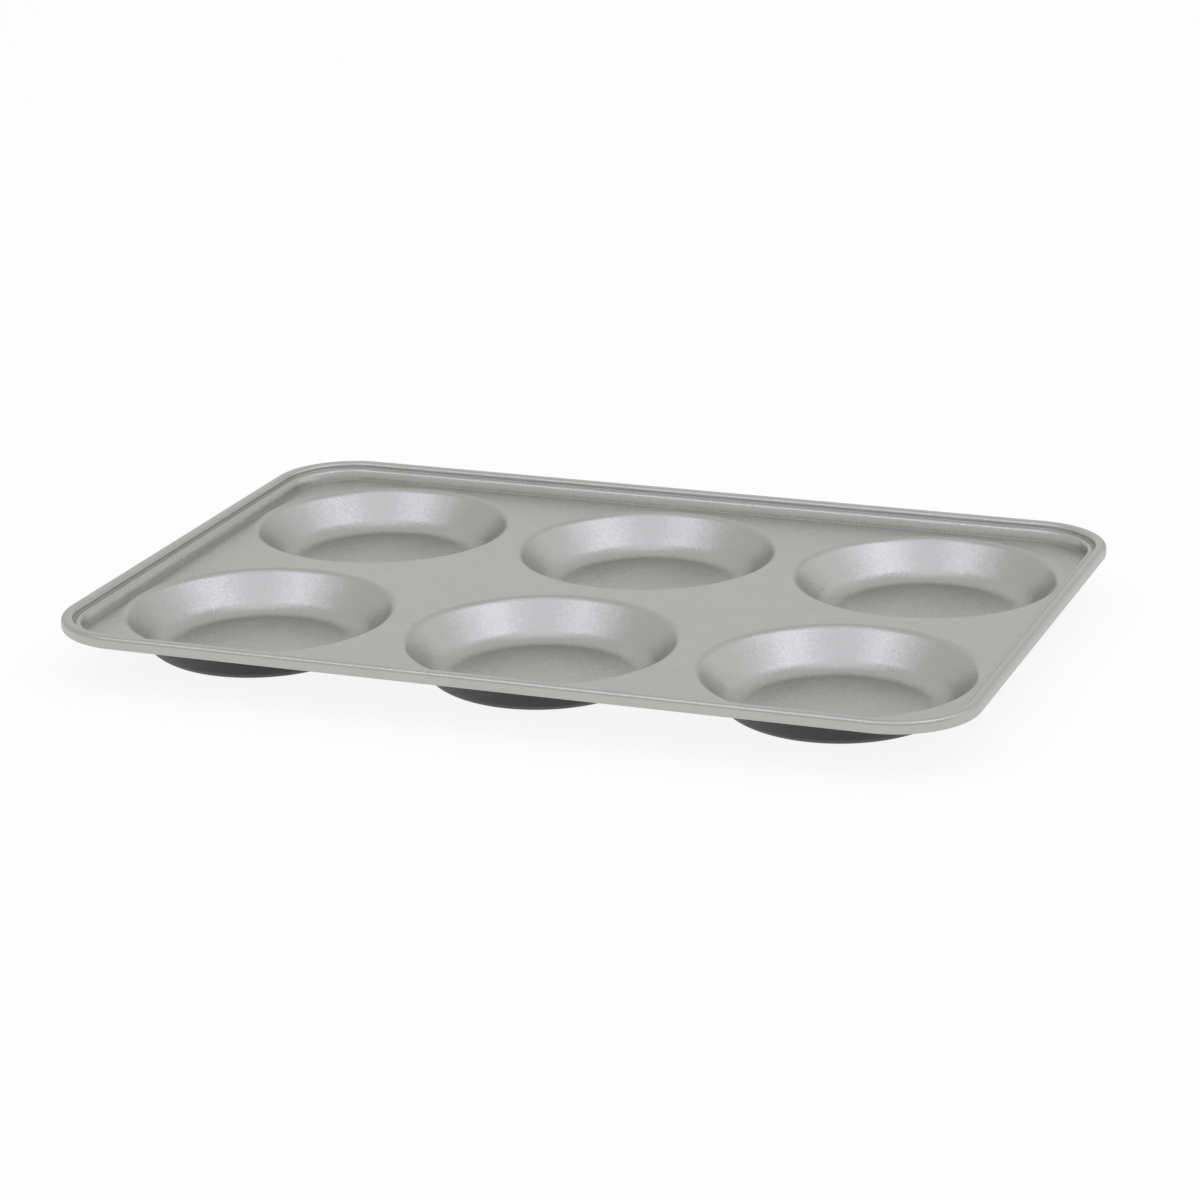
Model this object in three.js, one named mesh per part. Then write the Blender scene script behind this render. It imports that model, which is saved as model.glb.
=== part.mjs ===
// Pudding tray: six wide, shallow cups drawn in one thin steel sheet, inside a raised border whose edge is
// rolled over a steel wire. The sheet is laid out as the zones that the press forms in it: the flat deck,
// the six cups, the border wall and the rolled rim, which meet face to face. The wire lies in the roll.
// Millimetres, +Z up. The origin is the middle of the plane that the cups stand on. +X runs along the tray.

import * as THREE from "three";

// Overall
const TRAY_LENGTH = 350; // along X, outside the rolled rim
const TRAY_WIDTH = 245; // along Y, outside the rolled rim
const CORNER_RADIUS = 31.5; // outside the rolled rim, seen from above
const SHEET = 0.7; // thickness of the steel with its coats

// Cups
const CUP_PITCH_X = 113.4; // centre to centre along the tray
const CUP_PITCH_Y = 114.9; // centre to centre across the tray
const CUP_DEPTH = 14.4; // from the deck's coated face down to the floor's coated face
const MOUTH_RADIUS = 52.2; // where the deck starts to turn down
const MOUTH_FILLET = 4; // round edge between deck and cup wall
const MOUTH_LAND = 0.2; // flat ring that the cup zone keeps outside its mouth
const FLOOR_RADIUS = 33.5; // flat part of the floor
const FLOOR_FILLET = 11; // hollow between cup wall and floor

// Border wall, in insets from the tray's outside and rises from the deck
const FOOT_INSET = 8.4; // where the wall's foot would meet the deck
const FOOT_FILLET = 0.1;
const FOOT_LAND = 0.1; // flat strip that the wall zone keeps at the deck
const FOOT_TILT = THREE.MathUtils.degToRad(83); // slope of the wall at the foot, from level
const BULGE_RISE = 1.9; // where the wall starts to lean back more
const BULGE_FILLET = 8;
const WALL_TILT = THREE.MathUtils.degToRad(66); // slope of the wall above that
const SHOULDER_FILLET = 1.6;
const LEDGE_FALL = THREE.MathUtils.degToRad(18); // slope of the ledge, down from the shoulder to the roll
const SEAM_INSET = 5.2; // where wall and rolled rim meet, on the ledge

// Rolled rim, a roll with flattened sides, and its wire
const RIM_WIDTH = 4.5;
const RIM_RISE = 6.38; // from the deck up to the rim's top
const RIM_HEIGHT = 4.93; // from the rim's underside up to its top
const CREASE_RISE = 3.95; // from the deck up to where ledge and roll would meet
const CREASE_FILLET = 0.3;
const INNER_FILLET = 1.4; // at the bend from the roll's inner side to its top
const OUTER_FILLET = 1.6; // at its other bends
const ROLL_RETURN = 1.7; // how far the cut edge turns up again, from the rim's underside
const WIRE_DIAMETER = 2.6;
const WIRE_BUTT_GAP = 1.2; // between the wire's two ends

// Facets
const CUP_SIDES = 36;
const CORNER_STEPS = 6;
const FILLET_STEPS = 4;
const BEND_STEP = THREE.MathUtils.degToRad(24); // most that the sheet turns from one facet to the next
const WIRE_SIDES = 8;

// Worked out from the above
const QUARTER = Math.PI / 2;
const DECK_TOP = SHEET + CUP_DEPTH;
const RIM_TOP = DECK_TOP + RIM_RISE;
const RIM_BOTTOM = RIM_TOP - RIM_HEIGHT;
const CUP_EDGE = MOUTH_RADIUS + MOUTH_LAND;
const DECK_INSET = FOOT_INSET + FOOT_FILLET * Math.tan(FOOT_TILT / 2) + FOOT_LAND;
const CREASE_TOP = DECK_TOP + CREASE_RISE;
const SEAM_TOP = CREASE_TOP + (SEAM_INSET - RIM_WIDTH) * Math.tan(LEDGE_FALL);
const BULGE_TOP = DECK_TOP + BULGE_RISE;
const BULGE_INSET = FOOT_INSET - BULGE_RISE / Math.tan(FOOT_TILT);

// The shoulder's corner is where the lines of the wall and the ledge cross.
const ledgeOverBulge = CREASE_TOP + (BULGE_INSET - RIM_WIDTH) * Math.tan(LEDGE_FALL) - BULGE_TOP;
const wallRise = ledgeOverBulge / (1 + Math.tan(LEDGE_FALL) / Math.tan(WALL_TILT));
const SHOULDER_TOP = BULGE_TOP + wallRise;
const SHOULDER_INSET = BULGE_INSET - wallRise / Math.tan(WALL_TILT);

// Corners of the border's section and of the rim's, on the coated face: distance out, height and radius.
const BORDER_CORNERS = [
  [-DECK_INSET, DECK_TOP, 0],
  [-FOOT_INSET, DECK_TOP, FOOT_FILLET],
  [-BULGE_INSET, BULGE_TOP, BULGE_FILLET],
  [-SHOULDER_INSET, SHOULDER_TOP, SHOULDER_FILLET],
  [-SEAM_INSET, SEAM_TOP, 0],
];
const RIM_CORNERS = [
  [-SEAM_INSET, SEAM_TOP, 0],
  [-RIM_WIDTH, CREASE_TOP, CREASE_FILLET],
  [-RIM_WIDTH, RIM_TOP, INNER_FILLET],
  [0, RIM_TOP, OUTER_FILLET],
  [0, RIM_BOTTOM, OUTER_FILLET],
  [-RIM_WIDTH, RIM_BOTTOM, OUTER_FILLET],
  [-RIM_WIDTH, RIM_BOTTOM + ROLL_RETURN, 0],
];

// The cup wall is the straight line that both fillets touch, so its slope follows from their sizes.
const wallRun = MOUTH_RADIUS - FLOOR_RADIUS;
const filletSum = MOUTH_FILLET + FLOOR_FILLET;
const tangent = Math.sqrt(wallRun ** 2 + CUP_DEPTH ** 2 - 2 * filletSum * CUP_DEPTH);
const CUP_TILT = 2 * Math.atan((tangent - wallRun) / (CUP_DEPTH - 2 * filletSum));

// Points along an arc, in the plane of a section.
function arc(x, y, radius, from, to, steps) {
  const points = [];
  for (let i = 0; i <= steps; i += 1) {
    const angle = from + ((to - from) * i) / steps;
    points.push(new THREE.Vector2(x + radius * Math.cos(angle), y + radius * Math.sin(angle)));
  }
  return points;
}

// A closed section of the sheet: its lower face outwards, then its coated face back. face(depth) gives the
// points of the face that lies that deep under the coated one.
function sheetSection(face) {
  return [...face(SHEET), ...face(0).reverse()];
}

// One face of a cup, from the middle of its floor out to its edge: points are (radius, height).
function cupFace(depth) {
  const floorTop = DECK_TOP - CUP_DEPTH;
  const hollow = arc(
    FLOOR_RADIUS, floorTop + FLOOR_FILLET, FLOOR_FILLET + depth,
    -QUARTER, CUP_TILT - QUARTER, FILLET_STEPS);
  const lip = arc(
    MOUTH_RADIUS, DECK_TOP - MOUTH_FILLET, MOUTH_FILLET - depth,
    QUARTER + CUP_TILT, QUARTER, FILLET_STEPS);
  const middle = new THREE.Vector2(0, floorTop - depth);
  const edge = new THREE.Vector2(CUP_EDGE, DECK_TOP - depth);
  return [middle, ...hollow, ...lip, edge];
}

// One face of a strip bent at the given corners, each rounded by its radius. The coated face lies left of the
// way that the corners run, so the face at a depth keeps to the right of it, round the same bend centres.
function bentFace(corners, depth) {
  const at = corners.map(([out, height]) => new THREE.Vector2(out, height));
  const headings = at.slice(1).map((point, i) => point.clone().sub(at[i]).angle());
  return corners.flatMap(([out, height, radius], i) => {
    const from = headings[Math.max(i - 1, 0)];
    const to = headings[Math.min(i, headings.length - 1)];
    const turn = THREE.MathUtils.euclideanModulo(to - from + Math.PI, 4 * QUARTER) - Math.PI;
    const side = turn < 0 ? -1 : 1;
    const back = radius * Math.tan(Math.abs(turn) / 2);
    const x = out - back * Math.cos(from) - side * radius * Math.sin(from);
    const y = height - back * Math.sin(from) + side * radius * Math.cos(from);
    const start = from - side * QUARTER;
    const bend = arc(x, y, radius + side * depth, start, start + turn, Math.ceil(Math.abs(turn) / BEND_STEP) || 1);
    return radius > 0 ? bend : bend.slice(0, 1);
  });
}

// The tray's outline seen from above, anticlockwise, moved out by a distance (in when it is negative).
function outline(out) {
  const x = TRAY_LENGTH / 2 - CORNER_RADIUS;
  const y = TRAY_WIDTH / 2 - CORNER_RADIUS;
  const centres = [[-x, y], [-x, -y], [x, -y], [x, y]];
  return centres.flatMap(([cx, cy], i) => {
    const from = (i + 1) * QUARTER;
    return arc(cx, cy, CORNER_RADIUS + out, from, from + QUARTER, CORNER_STEPS);
  });
}

// The same outline left open by a gap in the middle of the tray's back edge.
function openOutline(out, gap) {
  const y = TRAY_WIDTH / 2 + out;
  return [new THREE.Vector2(-gap / 2, y), ...outline(out), new THREE.Vector2(gap / 2, y)];
}

// A closed section, anticlockwise, carried round the tray. path(out) gives the way that a point of the
// section at that distance out takes, and ends marks a way that doesn't close, whose ends get flat caps.
function carriedRound(section, path, ends = false) {
  const ways = section.map((point) => path(point.x).map((at) => [at.x, at.y, point.y]));
  const count = ways[0].length;
  const triangles = [];
  for (let i = 0; i < section.length; i += 1) {
    const here = i * count;
    const next = ((i + 1) % section.length) * count;
    for (let j = 0; j < (ends ? count - 1 : count); j += 1) {
      const k = (j + 1) % count;
      triangles.push(here + j, here + k, next + k, here + j, next + k, next + j);
    }
  }
  if (ends) {
    for (let i = 1; i < section.length - 1; i += 1) {
      triangles.push(0, i * count, (i + 1) * count);
      triangles.push(count - 1, (i + 2) * count - 1, (i + 1) * count - 1);
    }
  }
  const geometry = new THREE.BufferGeometry();
  geometry.setAttribute("position", new THREE.Float32BufferAttribute(ways.flat(2), 3));
  geometry.setIndex(triangles);
  geometry.computeVertexNormals();
  return geometry;
}

// Where each cup stands, by the names of its row and column.
const cupPlaces = [];
for (const [row, y] of [["back", CUP_PITCH_Y / 2], ["front", -CUP_PITCH_Y / 2]]) {
  for (const [column, x] of [["left", -CUP_PITCH_X], ["middle", 0], ["right", CUP_PITCH_X]]) {
    cupPlaces.push({ name: `cup_${row}_${column}`, x, y });
  }
}

// The flat web between the cups and the border, with a round opening for each cup.
function deckGeometry() {
  const shape = new THREE.Shape(outline(-DECK_INSET));
  for (const { x, y } of cupPlaces) {
    shape.holes.push(new THREE.Path(arc(x, y, CUP_EDGE, 0, 4 * QUARTER, CUP_SIDES).slice(1)));
  }
  return new THREE.ExtrudeGeometry(shape, { depth: SHEET, bevelEnabled: false });
}

// One drawn cup, a shell of revolution stood upright.
function cupGeometry() {
  return new THREE.LatheGeometry(sheetSection(cupFace), CUP_SIDES).rotateX(QUARTER);
}

// A strip with these corners, carried round the tray.
function borderGeometry(corners) {
  return carriedRound(sheetSection((depth) => bentFace(corners, depth)), outline);
}

// The wire, in the middle of the roll.
function wireGeometry() {
  const middle = (RIM_TOP + RIM_BOTTOM) / 2;
  const section = arc(-RIM_WIDTH / 2, middle, WIRE_DIAMETER / 2, 0, 4 * QUARTER, WIRE_SIDES).slice(1);
  return carriedRound(section, (out) => openOutline(out, WIRE_BUTT_GAP), true);
}

// Finishes: the sheet's grey release coat, and the bare steel of the wire.
function releaseCoat() {
  return new THREE.MeshStandardMaterial({ color: 0xb2b2ae, roughness: 0.45, metalness: 0.6 });
}

function bareWire() {
  return new THREE.MeshStandardMaterial({ color: 0x8f9192, roughness: 0.35, metalness: 0.9 });
}

const tray = new THREE.Group();

function addPiece(name, geometry, material) {
  const piece = new THREE.Mesh(geometry, material);
  piece.name = name;
  tray.add(piece);
  return piece;
}

addPiece("deck_panel", deckGeometry(), releaseCoat()).position.z = DECK_TOP - SHEET;
for (const { name, x, y } of cupPlaces) {
  addPiece(name, cupGeometry(), releaseCoat()).position.set(x, y, 0);
}
addPiece("border_wall", borderGeometry(BORDER_CORNERS), releaseCoat());
addPiece("rolled_rim", borderGeometry(RIM_CORNERS), releaseCoat());
addPiece("rim_wire", wireGeometry(), bareWire());

export default tray;
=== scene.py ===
# %% [markdown]
# # A pudding tray, from flat sheet to rolled rim
# The tray is one thin sheet of coated steel with six wide, shallow cups. A press draws the cups and a
# low border, and a second tool rolls the edge outwards over a steel wire. We model the zones of the
# sheet in that order, give them the thickness of the steel, and finish them with a silver-grey release
# coat above and a dark coat below. The frame is the engineering model, and every piece takes its place
# from it.

# %% Load the frame
import math

import bpy
from mathutils import Matrix, Vector


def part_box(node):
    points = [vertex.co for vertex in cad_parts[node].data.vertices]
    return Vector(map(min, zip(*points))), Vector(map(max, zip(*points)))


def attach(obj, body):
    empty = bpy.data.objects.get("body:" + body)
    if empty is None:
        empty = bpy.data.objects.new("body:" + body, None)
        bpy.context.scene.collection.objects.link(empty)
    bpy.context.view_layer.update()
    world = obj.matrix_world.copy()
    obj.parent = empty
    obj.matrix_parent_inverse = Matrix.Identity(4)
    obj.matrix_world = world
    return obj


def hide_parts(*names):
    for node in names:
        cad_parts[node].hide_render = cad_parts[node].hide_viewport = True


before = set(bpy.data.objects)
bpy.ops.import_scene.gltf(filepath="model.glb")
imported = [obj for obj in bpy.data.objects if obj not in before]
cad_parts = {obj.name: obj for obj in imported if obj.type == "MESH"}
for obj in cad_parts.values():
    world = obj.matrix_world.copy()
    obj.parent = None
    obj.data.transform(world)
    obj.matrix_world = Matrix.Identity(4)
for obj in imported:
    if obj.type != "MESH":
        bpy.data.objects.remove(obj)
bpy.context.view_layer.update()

# %% [markdown]
# Blender works in metres and the tray's drawing in millimetres, so one factor joins them. Sizes that the
# frame already holds are measured from its nodes, so that the two can't drift apart. Radii and angles
# don't show in a box, so they are written down where they are first needed.

# %% Measure the frame
MM = 0.001

deck_low, deck_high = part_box("deck_panel")
_, border_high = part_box("border_wall")
rim_low, rim_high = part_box("rolled_rim")

HALF_LENGTH = rim_high.x
HALF_WIDTH = rim_high.y
SHEET = deck_high.z - deck_low.z
DECK_TOP = deck_high.z
DECK_INSET = HALF_LENGTH - deck_high.x
SEAM_INSET = HALF_LENGTH - border_high.x
print(f"sheet {SHEET / MM:.2f} mm, deck at {DECK_TOP / MM:.2f} mm, rim at {rim_high.z / MM:.2f} mm")

# %% [markdown]
# The camera comes first, because it is the test for all that follows. It stands where the photograph was
# taken from: a little to the right, eighteen degrees above the table, with a long lens that keeps the
# tray's sides nearly parallel. A constraint could aim it, but not roll it by the last degree. So we
# build its three axes from the angles and put them into its matrix.

# %% Place the camera
PHOTO_AZIMUTH = math.radians(20.730)
PHOTO_ELEVATION = math.radians(18.007)
PHOTO_ROLL = math.radians(-0.953)
PHOTO_DISTANCE = 1413.57 * MM
SLIDE_RIGHT = 1.524 * MM
SLIDE_UP = -2.951 * MM
LENS_MM = 111.787
SENSOR_MM = 36.0

level_right = Vector((math.cos(PHOTO_AZIMUTH), math.sin(PHOTO_AZIMUTH), 0))
level_front = Vector((math.sin(PHOTO_AZIMUTH), -math.cos(PHOTO_AZIMUTH), 0))
camera_back = level_front * math.cos(PHOTO_ELEVATION) + Vector((0, 0, math.sin(PHOTO_ELEVATION)))
level_up = camera_back.cross(level_right)
camera_right = level_right * math.cos(PHOTO_ROLL) + level_up * math.sin(PHOTO_ROLL)
camera_up = level_up * math.cos(PHOTO_ROLL) - level_right * math.sin(PHOTO_ROLL)

camera_place = Vector((0, 0, DECK_TOP)) + camera_back * PHOTO_DISTANCE
camera_place += camera_right * SLIDE_RIGHT + camera_up * SLIDE_UP
camera_turn = Matrix((camera_right, camera_up, camera_back)).transposed()

bpy.ops.object.camera_add(location=camera_place, rotation=camera_turn.to_euler())
camera = bpy.context.object
camera.name = "photo_camera"
camera.data.lens = LENS_MM
camera.data.sensor_width = SENSOR_MM
bpy.context.scene.camera = camera
print(f"camera {camera_place.length:.3f} m from the tray, lens {LENS_MM:.1f} mm")

# %% [markdown]
# A finish is a small graph of nodes that ends in a surface shader. All finishes of this tray grow from
# the same few parts: a noise whose cells have a real size, a blend between two close tones, and a spread
# of gloss. A painted image could carry them too, but it would need an unwrapped sheet and would blur in
# a close view. So each part is written once, as a helper, and the noise reads the object's own
# coordinates.

# %% Start a finish
NOISE_LOW = 0.3
NOISE_HIGH = 0.7


def start_finish(name):
    """A new material, its nodes and links, its shader, and the object coordinates that patterns read."""
    finish = bpy.data.materials.new(name)
    finish.use_nodes = True
    nodes = finish.node_tree.nodes
    shader = nodes["Principled BSDF"]
    place = nodes.new("ShaderNodeTexCoord").outputs["Object"]
    return finish, nodes, finish.node_tree.links, shader, place


def add_noise(nodes, links, place, size, detail):
    """A noise texture whose cells are about as big as size, in metres."""
    noise = nodes.new("ShaderNodeTexNoise")
    noise.inputs["Scale"].default_value = 1 / size
    noise.inputs["Detail"].default_value = detail
    links.new(place, noise.inputs["Vector"])
    return noise.outputs["Fac"]


def blend_colours(nodes, links, amount, first, second):
    """A colour that goes from first to second with the amount."""
    mix = nodes.new("ShaderNodeMix")
    mix.data_type = "RGBA"
    mix.inputs["A"].default_value = (*first, 1)
    mix.inputs["B"].default_value = (*second, 1)
    links.new(amount, mix.inputs["Factor"])
    return mix.outputs["Result"]


def spread_range(nodes, links, amount, low, high):
    """The amount, whose values lie mostly around a half, spread from low to high."""
    spread = nodes.new("ShaderNodeMapRange")
    spread.inputs["From Min"].default_value = NOISE_LOW
    spread.inputs["From Max"].default_value = NOISE_HIGH
    spread.inputs["To Min"].default_value = low
    spread.inputs["To Max"].default_value = high
    links.new(amount, spread.inputs["Value"])
    return spread.outputs["Result"]


print("finish helpers ready")

# %% [markdown]
# The release coat is a baked paint full of tiny metal flakes, which is why the real tray is grey but
# sparkles where it turns to the light. To the shader it is nearly all metal, with a slightly darker tint
# for the places that are seen at a flat angle. One plain grey would look printed on so wide a deck, so
# soft clouds vary its colour and a fine grain varies its gloss.

# %% Mix the release coat
COAT_DARK = (0.460, 0.462, 0.440)
COAT_LIGHT = (0.500, 0.502, 0.478)
COAT_METAL = 0.95
COAT_EDGE_TINT = (0.9, 0.9, 0.9)
COAT_SMOOTH = 0.27
COAT_ROUGH = 0.33
CLOUD_SIZE = 14 * MM
CLOUD_DETAIL = 6
PEEL_SIZE = 1.1 * MM
PEEL_DETAIL = 3

release_coat, nodes, links, shader, place = start_finish("release_coat_grey")
shader.inputs["Metallic"].default_value = COAT_METAL
shader.inputs["Specular Tint"].default_value = (*COAT_EDGE_TINT, 1)
clouds = add_noise(nodes, links, place, CLOUD_SIZE, CLOUD_DETAIL)
links.new(blend_colours(nodes, links, clouds, COAT_DARK, COAT_LIGHT), shader.inputs["Base Color"])
grain = add_noise(nodes, links, place, PEEL_SIZE, PEEL_DETAIL)
links.new(spread_range(nodes, links, grain, COAT_SMOOTH, COAT_ROUGH), shader.inputs["Roughness"])
print("release coat: clouds of", CLOUD_SIZE / MM, "mm, grain of", PEEL_SIZE / MM, "mm")

# %% [markdown]
# The sparkle comes from the flakes, each of which lies a little differently in the film. A noisy bump
# alone looks sandy. It is truer to let every flake lean its own way: small cells of random colour, read
# as directions, tilt the surface normal. The grain that varies the gloss also raises the film's faint
# orange peel, and both go into the same normal.

# %% Lean the flakes
FLAKE_SIZE = 0.4 * MM
FLAKE_LEAN = 0.12
PEEL_DEPTH = 0.012 * MM
NO_LEAN = (0.5, 0.5, 0.5)


def change_vector(nodes, links, operation, vector):
    """A step of vector arithmetic on this vector, ready for its second input."""
    step = nodes.new("ShaderNodeVectorMath")
    step.operation = operation
    links.new(vector, step.inputs[0])
    return step


peel = nodes.new("ShaderNodeBump")
peel.inputs["Distance"].default_value = PEEL_DEPTH
links.new(grain, peel.inputs["Height"])

flakes = nodes.new("ShaderNodeTexVoronoi")
flakes.inputs["Scale"].default_value = 1 / FLAKE_SIZE
links.new(place, flakes.inputs["Vector"])
centred = change_vector(nodes, links, "SUBTRACT", flakes.outputs["Color"])
centred.inputs[1].default_value = NO_LEAN
leaning = change_vector(nodes, links, "SCALE", centred.outputs["Vector"])
leaning.inputs["Scale"].default_value = FLAKE_LEAN
tilted = change_vector(nodes, links, "ADD", peel.outputs["Normal"])
links.new(leaning.outputs["Vector"], tilted.inputs[1])
levelled = change_vector(nodes, links, "NORMALIZE", tilted.outputs["Vector"])
links.new(levelled.outputs["Vector"], shader.inputs["Normal"])
print("flakes of", FLAKE_SIZE / MM, "mm")

# %% [markdown]
# Below, the sheet has only a thin dark coat against rust, which shows on the cups' outsides under the
# rim. It is a charcoal film with a dull shine. Plain black would look like a hole, so a fine grain
# varies its colour, its gloss and its height.

# %% Mix the dark coat
UNDER_DARK = (0.021, 0.020, 0.020)
UNDER_LIGHT = (0.034, 0.033, 0.032)
UNDER_METAL = 0.1
UNDER_SHINE = 0.36
UNDER_SMOOTH = 0.42
UNDER_ROUGH = 0.54
UNDER_GRAIN = 0.9 * MM
UNDER_DETAIL = 5
UNDER_DEPTH = 0.02 * MM

under_coat, nodes, links, shader, place = start_finish("under_coat_charcoal")
shader.inputs["Metallic"].default_value = UNDER_METAL
shader.inputs["Specular IOR Level"].default_value = UNDER_SHINE
grain = add_noise(nodes, links, place, UNDER_GRAIN, UNDER_DETAIL)
links.new(blend_colours(nodes, links, grain, UNDER_DARK, UNDER_LIGHT), shader.inputs["Base Color"])
links.new(spread_range(nodes, links, grain, UNDER_SMOOTH, UNDER_ROUGH), shader.inputs["Roughness"])
bump = nodes.new("ShaderNodeBump")
bump.inputs["Distance"].default_value = UNDER_DEPTH
links.new(grain, bump.inputs["Height"])
links.new(bump.outputs["Normal"], shader.inputs["Normal"])
print("dark coat: grain of", UNDER_GRAIN / MM, "mm")

# %% [markdown]
# Two places are bare metal: the sheet's cut edge, which ends up under the roll, and the wire inside it.
# Both are plain steel, the edge torn bright by the shears and the wire drawn smooth and dulled by the
# oven. Two separate graphs would repeat each other, so one helper mixes both from their tones, gloss and
# grain.

# %% Mix the bare steels
ALL_METAL = 1
STEEL_DETAIL = 4
CUT_TONES = {"dark": (0.42, 0.41, 0.40), "light": (0.60, 0.59, 0.58)}
CUT_GLOSS = {"smooth": 0.30, "rough": 0.50, "grain_size": 0.3 * MM}
WIRE_TONES = {"dark": (0.24, 0.24, 0.24), "light": (0.36, 0.36, 0.35)}
WIRE_GLOSS = {"smooth": 0.28, "rough": 0.42, "grain_size": 0.6 * MM}


def mix_steel(name, dark, light, smooth, rough, grain_size):
    """Bare steel whose grain goes from a dark and smooth tone to a light and rough one."""
    steel, nodes, links, shader, place = start_finish(name)
    shader.inputs["Metallic"].default_value = ALL_METAL
    grain = add_noise(nodes, links, place, grain_size, STEEL_DETAIL)
    links.new(blend_colours(nodes, links, grain, dark, light), shader.inputs["Base Color"])
    links.new(spread_range(nodes, links, grain, smooth, rough), shader.inputs["Roughness"])
    return steel


cut_steel = mix_steel("cut_edge_steel", **CUT_TONES, **CUT_GLOSS)
wire_steel = mix_steel("drawn_wire_steel", **WIRE_TONES, **WIRE_GLOSS)
print("bare steels:", cut_steel.name, wire_steel.name)

# %% [markdown]
# Operators act on whatever is selected, so each piece starts from a clean selection. By hand that is a
# few clicks. In a script, four short helpers select pieces, open one for editing, close it again and
# name it.

# %% Helpers for editing
def pick(*pieces):
    """Selects these pieces and nothing else, the first one active."""
    bpy.ops.object.select_all(action="DESELECT")
    for piece in pieces:
        piece.select_set(True)
    bpy.context.view_layer.objects.active = pieces[0]


def open_edit(piece):
    """Opens one piece in edit mode with everything in it selected."""
    pick(piece)
    bpy.ops.object.mode_set(mode="EDIT")
    bpy.ops.mesh.select_mode(type="EDGE")
    bpy.ops.mesh.select_all(action="SELECT")


def close_edit():
    """Leaves edit mode, which stores the mesh."""
    bpy.ops.object.mode_set(mode="OBJECT")


def rename(piece, name):
    """Gives a piece and its mesh the same name."""
    piece.name = name
    piece.data.name = name


print("editing helpers ready")

# %% [markdown]
# A drawn cup is round, so its whole shape is one line: flat floor, hollow fillet, straight wall, round
# lip, and a narrow flat ring that meets the deck. The wall could be drawn by eye between the fillets,
# but then it would meet them in a faint kink. It is the line that touches both, and its slope follows
# from their radii.

# %% Draw the cup's line
QUARTER = math.pi / 2
MOUTH_LAND = 0.2 * MM
MOUTH_FILLET = 4 * MM
FLOOR_RADIUS = 33.5 * MM
FLOOR_FILLET = 11 * MM
ARC_STEPS = 14


def arc_points(out, up, radius, start, end, steps):
    """Points along an arc of a section, each a distance out and a height."""
    angles = [start + (end - start) * step / steps for step in range(steps + 1)]
    return [(out + radius * math.cos(angle), up + radius * math.sin(angle)) for angle in angles]


cup_low, cup_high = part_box("cup_back_left")
CUP_CENTRE = (cup_low + cup_high) / 2
CUP_EDGE = (cup_high.x - cup_low.x) / 2
MOUTH_RADIUS = CUP_EDGE - MOUTH_LAND
FLOOR_TOP = cup_low.z + SHEET

cup_depth = DECK_TOP - FLOOR_TOP
wall_run = MOUTH_RADIUS - FLOOR_RADIUS
fillet_sum = MOUTH_FILLET + FLOOR_FILLET
tangent = math.sqrt(wall_run ** 2 + cup_depth ** 2 - 2 * fillet_sum * cup_depth)
CUP_TILT = 2 * math.atan((tangent - wall_run) / (cup_depth - 2 * fillet_sum))

hollow = arc_points(
    FLOOR_RADIUS, FLOOR_TOP + FLOOR_FILLET, FLOOR_FILLET, -QUARTER, CUP_TILT - QUARTER, ARC_STEPS)
lip = arc_points(
    MOUTH_RADIUS, DECK_TOP - MOUTH_FILLET, MOUTH_FILLET, QUARTER + CUP_TILT, QUARTER, ARC_STEPS)
cup_line = hollow + lip + [(CUP_EDGE, DECK_TOP)]
print(f"cup {cup_depth / MM:.1f} mm deep, wall at {math.degrees(CUP_TILT):.1f} degrees")

# %% [markdown]
# The press starts from flat metal, and so do we: a circle as wide as the floor, filled with a grid. From
# its edge the cup grows ring by ring. Each extrude lifts the ring to the line's next height, and a
# resize about the cup's middle opens it to the next radius. A spin of the whole line would be quicker,
# but it pinches all faces together in the middle of the floor, just where puddings lie.

# %% Raise the cup ring by ring
CUP_SIDES = 128
FLOOR_SPAN = CUP_SIDES // 4

bpy.ops.object.select_all(action="DESELECT")
bpy.ops.mesh.primitive_circle_add(
    vertices=CUP_SIDES, radius=FLOOR_RADIUS, location=(CUP_CENTRE.x, CUP_CENTRE.y, FLOOR_TOP))
first_cup = bpy.context.object
bpy.ops.object.transform_apply(location=True, rotation=True, scale=True)
rename(first_cup, "cup_sheet_back_left")

open_edit(first_cup)
bpy.ops.mesh.fill_grid(span=FLOOR_SPAN)
bpy.ops.mesh.select_all(action="SELECT")
bpy.ops.mesh.region_to_loop()
for (radius, height), (next_radius, next_height) in zip(cup_line, cup_line[1:]):
    grow = next_radius / radius
    bpy.ops.mesh.extrude_edges_move(TRANSFORM_OT_translate={"value": (0, 0, next_height - height)})
    bpy.ops.transform.resize(value=(grow, grow, 1), center_override=CUP_CENTRE)
close_edit()
print("cup:", len(first_cup.data.polygons), "faces before it gets its thickness")

# %% [markdown]
# A sheet that was filled, extruded or spun may face either way, and the thickness is laid behind its
# faces. So the normals are made to agree, after merging doubles. That could still leave the whole sheet
# upside down. The topmost face of each of these sheets looks up on the real tray, which tells whether it
# has to be turned over.

# %% Turn the coated face up
MERGE_WITHIN = 0.002 * MM


def face_up(piece):
    """Merges doubles, makes the normals agree, and turns the sheet so that its topmost face looks up."""
    open_edit(piece)
    bpy.ops.mesh.remove_doubles(threshold=MERGE_WITHIN)
    bpy.ops.mesh.normals_make_consistent(inside=False)
    close_edit()
    topmost = max(piece.data.polygons, key=lambda face: face.center.z)
    if topmost.normal.z < 0:
        open_edit(piece)
        bpy.ops.mesh.flip_normals()
        close_edit()


face_up(first_cup)
looking_up = [face for face in first_cup.data.polygons if face.normal.z > 0]
print("cup:", len(looking_up), "of", len(first_cup.data.polygons), "faces look up")

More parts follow.
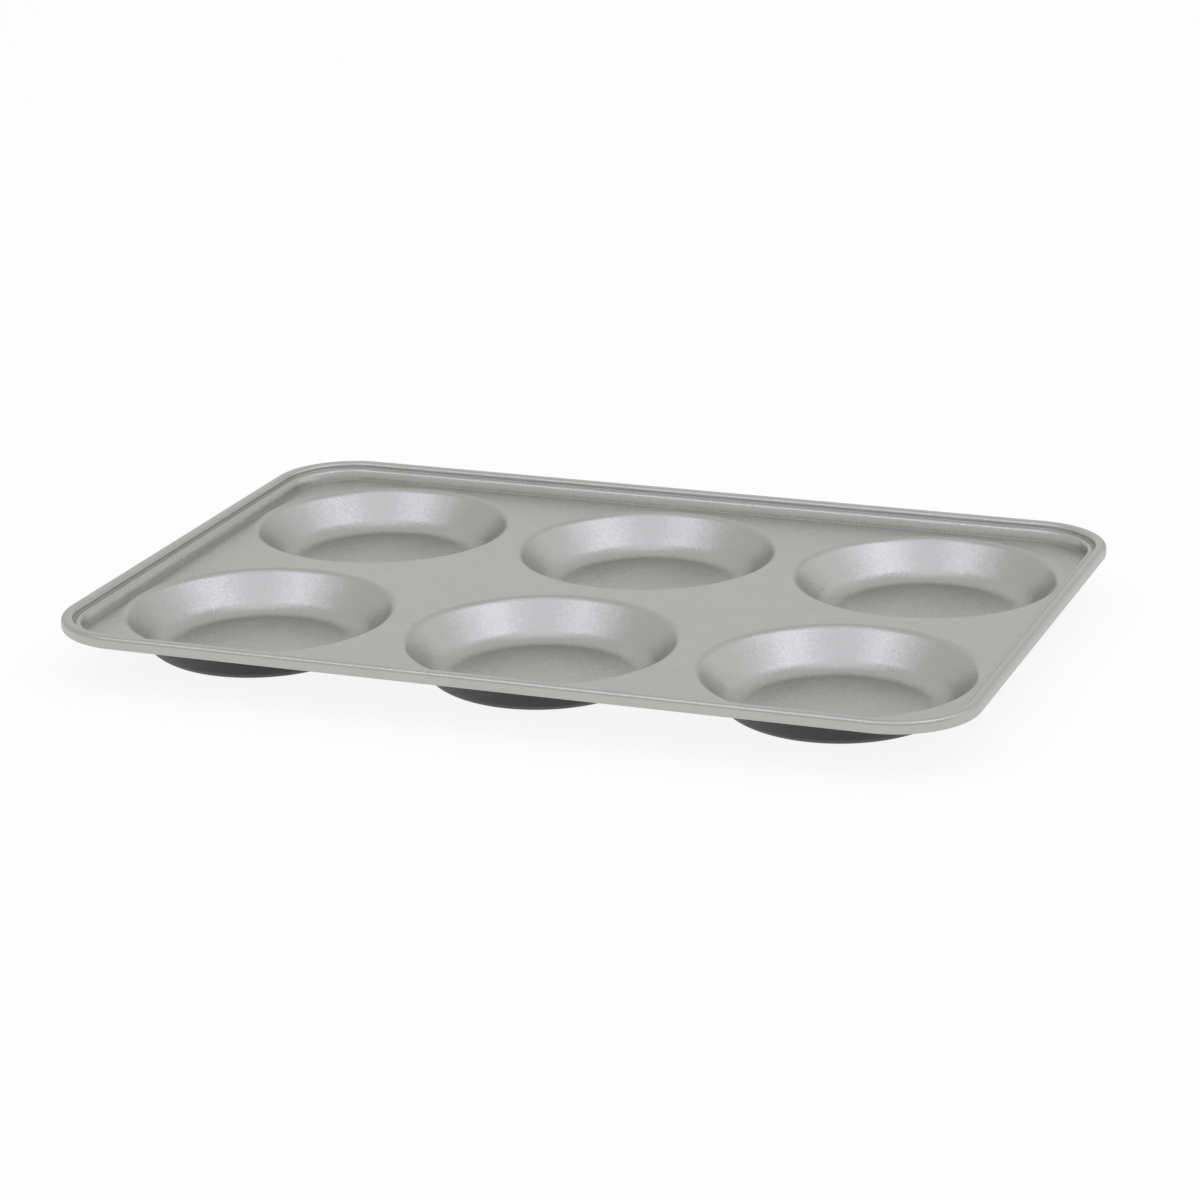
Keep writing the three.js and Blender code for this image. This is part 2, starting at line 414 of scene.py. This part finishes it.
# %% [markdown]
# The other five cups come from the same punch. An array could repeat the first, but it would leave them
# one mesh. So they are copies, each with its own mesh, moved to where the frame has them, and the move
# is applied, so that a cup's place is in its points.

# %% Copy the cup to its six places
ROWS = ("back", "front")
COLUMNS = ("left", "middle", "right")
CUP_NODES = [f"cup_{row}_{column}" for row in ROWS for column in COLUMNS]

cups = {"cup_back_left": first_cup}
for node in CUP_NODES[1:]:
    low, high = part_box(node)
    pick(first_cup)
    bpy.ops.object.duplicate(linked=False)
    copy = bpy.context.object
    bpy.ops.transform.translate(value=(low + high) / 2 - CUP_CENTRE)
    bpy.ops.object.transform_apply(location=True, rotation=False, scale=False)
    rename(copy, node.replace("cup_", "cup_sheet_"))
    cups[node] = copy
print("cups:", [cup.name for cup in cups.values()])

# %% [markdown]
# The border and the rim keep one section all the way round the tray. We draw such a section as a chain
# of points at the middle of the back edge, then carry it round by straight extrudes along the sides and
# quarter spins at the corners. A bevelled curve could do it too, but then its points wouldn't lie where
# the deck needs them.

# %% Draw a line and carry it round
CORNER_RADIUS = 31.5 * MM
CORNER_STEPS = 32
side_x = HALF_LENGTH - CORNER_RADIUS
side_y = HALF_WIDTH - CORNER_RADIUS


def draw_line(name, points):
    """A chain of edges at the middle of the back edge, through points given as distance out and height."""
    start_out, start_up = points[0]
    bpy.ops.object.select_all(action="DESELECT")
    bpy.ops.mesh.primitive_plane_add(size=SHEET, location=(0, HALF_WIDTH + start_out, start_up))
    piece = bpy.context.object
    bpy.ops.object.transform_apply(location=True, rotation=True, scale=True)
    rename(piece, name)
    open_edit(piece)
    bpy.ops.mesh.select_mode(type="VERT")
    bpy.ops.mesh.merge(type="CENTER")
    for (out, up), (next_out, next_up) in zip(points, points[1:]):
        step = (0, next_out - out, next_up - up)
        bpy.ops.mesh.extrude_vertices_move(TRANSFORM_OT_translate={"value": step})
    close_edit()
    return piece


def carry_round(piece, gap=0):
    """Carries a section anticlockwise round the tray, back to its start or to a gap before it."""
    runs = [
        ((gap / 2 - side_x, 0, 0), (-side_x, side_y, 0)),
        ((0, -2 * side_y, 0), (-side_x, -side_y, 0)),
        ((2 * side_x, 0, 0), (side_x, -side_y, 0)),
        ((0, 2 * side_y, 0), (side_x, side_y, 0)),
    ]
    open_edit(piece)
    for run, corner in runs:
        bpy.ops.mesh.extrude_edges_move(TRANSFORM_OT_translate={"value": run})
        bpy.ops.mesh.spin(steps=CORNER_STEPS, angle=-QUARTER, center=corner, axis=(0, 0, 1))
    bpy.ops.mesh.extrude_edges_move(TRANSFORM_OT_translate={"value": (gap / 2 - side_x, 0, 0)})
    close_edit()


print(f"straight runs {2 * side_x / MM:.0f} and {2 * side_y / MM:.0f} mm")

# %% [markdown]
# Bent sheet has no sharp corners, because every bend has a radius. A drawing gives such a section as a
# few corners, each with the radius that rounds it, and so do we. A bevel would round them by width and
# not by radius, so a helper works out each arc from the two straights that it joins.

# %% Round the corners of a line
BEND_STEPS = 12


def bent_line(corners):
    """Points along a line through corners, each a distance out, a height and the radius that rounds it."""
    points = []
    for number, (out, up, radius) in enumerate(corners):
        if radius == 0:
            points.append((out, up))
            continue
        last_out, last_up, _ = corners[number - 1]
        next_out, next_up, _ = corners[number + 1]
        heading = math.atan2(up - last_up, out - last_out)
        new_heading = math.atan2(next_up - up, next_out - out)
        turn = (new_heading - heading + math.pi) % (2 * math.pi) - math.pi
        side = math.copysign(1, turn)
        back = radius * math.tan(abs(turn) / 2)
        middle_out = out - back * math.cos(heading) - side * radius * math.sin(heading)
        middle_up = up - back * math.sin(heading) + side * radius * math.cos(heading)
        start = heading - side * QUARTER
        points += arc_points(middle_out, middle_up, radius, start, start + turn, BEND_STEPS)
    return points


print("bends of", BEND_STEPS, "steps each")

# %% [markdown]
# The border keeps the tray stiff. It rises from the deck at a nearly sharp foot, first very steep, then
# leaning back more above a soft bend. A round shoulder turns it into a narrow ledge, which falls a
# little towards the crease of the roll. Those corners could be read off a picture, but here each is
# where two straights meet, worked out from their slopes, so that one size can change without the rest
# coming apart.

# %% Bend up the border
FOOT_LAND = 0.1 * MM
FOOT_FILLET = 0.1 * MM
FOOT_TILT = math.radians(83)
BULGE_RISE = 1.9 * MM
BULGE_FILLET = 8 * MM
WALL_TILT = math.radians(66)
SHOULDER_FILLET = 1.6 * MM
LEDGE_FALL = math.radians(18)
CREASE_RISE = 3.95 * MM
RIM_WIDTH = 4.5 * MM

foot_inset = DECK_INSET - FOOT_LAND - FOOT_FILLET * math.tan(FOOT_TILT / 2)
bulge_inset = foot_inset - BULGE_RISE / math.tan(FOOT_TILT)
bulge_top = DECK_TOP + BULGE_RISE
crease_top = DECK_TOP + CREASE_RISE
seam_top = crease_top + (SEAM_INSET - RIM_WIDTH) * math.tan(LEDGE_FALL)
ledge_over_bulge = crease_top + (bulge_inset - RIM_WIDTH) * math.tan(LEDGE_FALL) - bulge_top
wall_rise = ledge_over_bulge / (1 + math.tan(LEDGE_FALL) / math.tan(WALL_TILT))
shoulder_inset = bulge_inset - wall_rise / math.tan(WALL_TILT)
border_corners = [
    (-DECK_INSET, DECK_TOP, 0),
    (-foot_inset, DECK_TOP, FOOT_FILLET),
    (-bulge_inset, bulge_top, BULGE_FILLET),
    (-shoulder_inset, bulge_top + wall_rise, SHOULDER_FILLET),
    (-SEAM_INSET, seam_top, 0),
]

border = draw_line("border_sheet", bent_line(border_corners))
carry_round(border)
face_up(border)
print("border:", len(border.data.polygons), "faces, foot", round(foot_inset / MM, 2), "mm in")

# %% [markdown]
# Past the ledge the sheet turns up in a sharp crease and goes round the wire: over the top, down the
# outside and back underneath, until its cut edge turns up again below the ledge. That roll is what one
# grips, and its highlight runs round the whole tray. A round tube would be quicker to draw, but the real
# roll has a flat outer face, which shows as an even band along the front.

# %% Roll the rim
CREASE_FILLET = 0.3 * MM
INNER_FILLET = 1.4 * MM
OUTER_FILLET = 1.6 * MM
ROLL_RETURN = 1.7 * MM

rim_corners = [
    (-SEAM_INSET, seam_top, 0),
    (-RIM_WIDTH, crease_top, CREASE_FILLET),
    (-RIM_WIDTH, rim_high.z, INNER_FILLET),
    (0, rim_high.z, OUTER_FILLET),
    (0, rim_low.z, OUTER_FILLET),
    (-RIM_WIDTH, rim_low.z, OUTER_FILLET),
    (-RIM_WIDTH, rim_low.z + ROLL_RETURN, 0),
]

rim = draw_line("rim_roll", bent_line(rim_corners))
carry_round(rim)
face_up(rim)
print("rim:", len(rim.data.polygons), "faces, rolled to", round(rim_high.z / MM, 2), "mm")

# %% [markdown]
# The deck is the flat that is left between the cups and the border. If it were drawn on its own, its
# edges would nearly meet theirs and light would leak through the seams. So its edges are copied from the
# open edges of the pieces that it joins, and the area between them is filled.

# %% Fill the deck between the edges
LEVEL_WITHIN = 0.05 * MM


def select_open_edges():
    """Selects the boundary edges of the piece that is being edited."""
    bpy.ops.mesh.select_all(action="DESELECT")
    bpy.ops.mesh.select_non_manifold(
        extend=False, use_wire=False, use_multi_face=False, use_non_contiguous=False, use_verts=False)


def copy_edge(piece):
    """A new object with the edge of this open sheet that lies at the deck."""
    open_edit(piece)
    select_open_edges()
    close_edit()
    points = piece.data.vertices
    for edge in piece.data.edges:
        if any(abs(points[index].co.z - DECK_TOP) > LEVEL_WITHIN for index in edge.vertices):
            edge.select = False
    bpy.ops.object.mode_set(mode="EDIT")
    bpy.ops.mesh.duplicate()
    bpy.ops.mesh.separate(type="SELECTED")
    close_edit()
    return next(found for found in bpy.context.selected_objects if found != piece)


deck_edges = [copy_edge(piece) for piece in (border, *cups.values())]
pick(*deck_edges)
bpy.ops.object.join()
deck = bpy.context.object
rename(deck, "deck_sheet")
open_edit(deck)
bpy.ops.mesh.fill(use_beauty=True)
close_edit()
face_up(deck)
print("deck:", len(deck.data.polygons), "faces,", len(deck_edges), "edges")

# %% [markdown]
# Now the sheet gets its thickness. An extrude along the normals would do on the flat deck but pinch in
# the tight bends. Solidify keeps the thickness even, lays a second face behind the coated one and closes
# the edges. It also gives each its own finish: the release coat stays on the face that we drew, the dark
# coat goes behind it, and the cut edge is bare steel. Smoothing by angle keeps bends round and edges
# crisp.

# %% Give the sheet its thickness
SHEET_FINISHES = (release_coat, under_coat, cut_steel)
BEHIND = -1
SMOOTH_BELOW = math.radians(35)


def give_thickness(piece):
    """Lays the dark underside one sheet thickness behind the coated face, and smooths the bends."""
    piece.data.materials.clear()
    for finish in SHEET_FINISHES:
        piece.data.materials.append(finish)
    pick(piece)
    wall = piece.modifiers.new("sheet_thickness", "SOLIDIFY")
    wall.thickness = SHEET
    wall.offset = BEHIND
    wall.use_even_offset = True
    wall.material_offset = SHEET_FINISHES.index(under_coat)
    wall.material_offset_rim = SHEET_FINISHES.index(cut_steel)
    bpy.ops.object.modifier_apply(modifier=wall.name)
    bpy.ops.object.shade_smooth_by_angle(angle=SMOOTH_BELOW)


sheets = {"deck_panel": deck, "border_wall": border, "rolled_rim": rim, **cups}
for sheet in sheets.values():
    give_thickness(sheet)
print("faces:", {sheet.name: len(sheet.data.polygons) for sheet in sheets.values()})

# %% [markdown]
# The wire inside the roll is what makes the rim stiff. It is one length, bent round and left with a
# small gap at the middle of the back edge, where its two cut ends face each other. A closed ring would
# be simpler, but no wire is bent without ends. So a circle is carried round the same way as the sheet,
# its ends are filled, and a small bevel takes their sharp edge off.

# %% Bend the wire
wire_low, wire_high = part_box("rim_wire")
WIRE_RADIUS = (wire_high.z - wire_low.z) / 2
WIRE_MIDDLE = (wire_high.z + wire_low.z) / 2
WIRE_GAP = 1.2 * MM
WIRE_SIDES = 24
END_BEVEL = 0.25 * MM
END_BEVEL_STEPS = 3

bpy.ops.object.select_all(action="DESELECT")
bpy.ops.mesh.primitive_circle_add(
    vertices=WIRE_SIDES, radius=WIRE_RADIUS, rotation=(0, QUARTER, 0),
    location=(-WIRE_GAP / 2, wire_high.y - WIRE_RADIUS, WIRE_MIDDLE))
wire = bpy.context.object
bpy.ops.object.transform_apply(location=True, rotation=True, scale=True)
rename(wire, "wire_loop")
carry_round(wire, WIRE_GAP)

open_edit(wire)
select_open_edges()
bpy.ops.mesh.fill_holes(sides=WIRE_SIDES)
bpy.ops.mesh.bevel(offset=END_BEVEL, segments=END_BEVEL_STEPS)
bpy.ops.mesh.select_all(action="SELECT")
bpy.ops.mesh.normals_make_consistent(inside=False)
close_edit()
wire.data.materials.clear()
wire.data.materials.append(wire_steel)
pick(wire)
bpy.ops.object.shade_smooth_by_angle(angle=SMOOTH_BELOW)
print("wire:", len(wire.data.polygons), "faces,", round(2 * WIRE_RADIUS / MM, 2), "mm thick")

# %% [markdown]
# Each finished piece now takes the place of its node in the frame. The plain nodes could be kept and
# only painted, but their bends are coarser, and one paint would cover both faces of the sheet. Nothing
# on this tray moves, so all pieces ride on the one body.

# %% Hand the pieces to the frame
for node, sheet in sheets.items():
    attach(sheet, "root")
    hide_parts(node)
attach(wire, "root")
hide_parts("rim_wire")
print("pieces on the frame:", len([*sheets.values(), wire]))

# %% [markdown]
# The tray stands on a white table that runs on as a white background. Light enough to make a table that
# white would wash out the tray. So where the camera or a mirror looks at the table, most of its white is
# a glow of strength 1, and only a small part is lit paint, which is enough to keep the tray's shadow.

# %% Mix the table's white
TABLE_PAINT = (0.95, 0.95, 0.95)
TABLE_ROUGHNESS = 1
TABLE_SHINE = 0
TABLE_GLOW_SHARE = 0.9


def mix_glow(name, paint, glow_share):
    """Matt paint of which a share glows to the camera and to mirrors, and is only paint to other light."""
    matt, nodes, links, shader, _ = start_finish(name)
    shader.inputs["Base Color"].default_value = (*paint, 1)
    shader.inputs["Roughness"].default_value = TABLE_ROUGHNESS
    shader.inputs["Specular IOR Level"].default_value = TABLE_SHINE
    path = nodes.new("ShaderNodeLightPath")
    looks = path.outputs["Is Camera Ray"]
    for kind in ("Is Glossy Ray", "Is Transmission Ray"):
        either = nodes.new("ShaderNodeMath")
        either.operation = "MAXIMUM"
        links.new(looks, either.inputs[0])
        links.new(path.outputs[kind], either.inputs[1])
        looks = either.outputs["Value"]
    share = nodes.new("ShaderNodeMath")
    share.operation = "MULTIPLY"
    share.inputs[1].default_value = glow_share
    links.new(looks, share.inputs[0])
    glow = nodes.new("ShaderNodeEmission")
    mixed = nodes.new("ShaderNodeMixShader")
    links.new(share.outputs["Value"], mixed.inputs["Fac"])
    links.new(shader.outputs["BSDF"], mixed.inputs[1])
    links.new(glow.outputs["Emission"], mixed.inputs[2])
    links.new(mixed.outputs["Shader"], nodes["Material Output"].inputs["Surface"])
    return matt


table_white = mix_glow("table_white", TABLE_PAINT, TABLE_GLOW_SHARE)
print("table white: glow share", TABLE_GLOW_SHARE)

# %% [markdown]
# The table itself is one plane, far wider than the view. A studio would bend paper up behind the tray to
# hide the horizon, but this camera looks down enough to see nothing but table. The plane lies a hair
# below the cups, because two faces in one plane flicker.

# %% Lay the floor
FLOOR_METRES = 14
FLOOR_DROP = 0.1 * MM

bpy.ops.object.select_all(action="DESELECT")
bpy.ops.mesh.primitive_plane_add(size=FLOOR_METRES, location=(0, 0, -FLOOR_DROP))
floor = bpy.context.object
rename(floor, "floor")
floor.data.materials.append(table_white)
print("floor", FLOOR_METRES, "m wide")

# %% [markdown]
# Metal shows its surroundings, so the light is built as surroundings. First comes the room, a pale grey
# on all sides, which every part of the coat mirrors a little. It could be a picture of a studio, but one
# plain tone is easier to judge, because whatever stands out from it was put there on purpose.

# %% Paint the room
ROOM_GREY = 0.73

room = bpy.data.worlds.new("pale_room")
room.use_nodes = True
room.node_tree.nodes["Background"].inputs["Color"].default_value = (ROOM_GREY, ROOM_GREY, ROOM_GREY, 1)
bpy.context.scene.world = room
bpy.context.scene.view_settings.view_transform = "Standard"
print("room grey", ROOM_GREY)

# %% [markdown]
# Each light is a rectangle that faces the tray. Spots would be quicker to place, but on this coat only a
# wide face makes a wide, soft streak. A light's place is two angles: how far it is turned to the right
# of the camera, and how high it stands. A lamp's power is spread over its face, so we state how bright
# the face looks, and the helper works out the power. The camera doesn't see the lamps themselves.

# %% Make a helper for lights
def towards(turn, rise):
    """The direction so many degrees right of the camera's side of the tray, and so many above the table."""
    flat = level_front * math.cos(math.radians(turn)) + level_right * math.sin(math.radians(turn))
    return flat * math.cos(math.radians(rise)) + Vector((0, 0, math.sin(math.radians(rise))))


def hang_light(name, tint, turn, rise, away, width, height, brightness):
    """A rectangular light of this tint whose face, so wide and high, looks at the tray from so far away."""
    aim = towards(turn, rise)
    facing = aim.to_track_quat("Z", "Y").to_euler()
    bpy.ops.object.light_add(type="AREA", location=aim * away, rotation=facing)
    lamp = bpy.context.object
    lamp.name = name
    lamp.data.color = tint
    lamp.data.shape = "RECTANGLE"
    lamp.data.size = width
    lamp.data.size_y = height
    lamp.data.energy = brightness * math.pi * width * height
    lamp.visible_camera = False
    print(f"{name} {lamp.data.energy:.2f} W")


print("light helpers ready")

# %% [markdown]
# The brightest lights are soft boxes in front, one to the left and one to the right, each with weaker
# neighbours further round. They make the two pale streaks on the far wall of every cup. A box in front
# fills the gap between the streaks and helps to draw the bright line along the rolled rim, and one
# overhead lifts the lips of the cups. One big box would be simpler, but it would melt the streaks into
# one. The light is a little cool, which is why the streaks look bluish beside the deck. Sizes and
# distances are in metres.

# %% Hang the soft boxes
BOX_TINT = (0.95, 0.92, 1.13)
SOFT_BOXES = {
    "box_left": dict(turn=-48, rise=54, away=2.4, width=0.9, height=1.0, brightness=0.95),
    "box_left_far": dict(turn=-78, rise=50, away=2.4, width=0.9, height=1.0, brightness=0.42),
    "box_front": dict(turn=4, rise=56, away=2.4, width=1.3, height=0.9, brightness=0.53),
    "box_right": dict(turn=52, rise=52, away=2.0, width=0.8, height=0.9, brightness=1.05),
    "box_right_far": dict(turn=84, rise=50, away=2.4, width=1.0, height=1.0, brightness=0.59),
    "box_right_back": dict(turn=116, rise=42, away=2.4, width=1.4, height=1.0, brightness=0.17),
    "box_top": dict(turn=0, rise=84, away=2.4, width=1.6, height=1.2, brightness=0.40),
}

for name, box in SOFT_BOXES.items():
    hang_light(name, BOX_TINT, **box)

# %% [markdown]
# The deck and the floors of the cups lie flat, so they mirror what stands low behind the tray. Studios
# put up white cards there. A brighter room would lift the deck too, but every other side with it. Our
# cards are weak lights without a tint: a wide one behind, a weaker one above it that evens out the step
# to the room, one at the right, and a small one close to the back right corner. That one is near enough
# to light the right-hand cups more than the left-hand ones.

# %% Put up the white cards
CARD_TINT = (1.0, 1.0, 1.0)
WHITE_CARDS = {
    "card_right": dict(turn=90, rise=18, away=2.4, width=2.0, height=1.4, brightness=0.24),
    "card_back_right": dict(turn=125, rise=16, away=0.86, width=0.42, height=0.4, brightness=0.22),
    "card_back": dict(turn=180, rise=14, away=2.2, width=1.2, height=1.1, brightness=0.16),
    "card_back_high": dict(turn=180, rise=42, away=2.2, width=2.6, height=1.0, brightness=0.05),
}

for name, card in WHITE_CARDS.items():
    hang_light(name, CARD_TINT, **card)
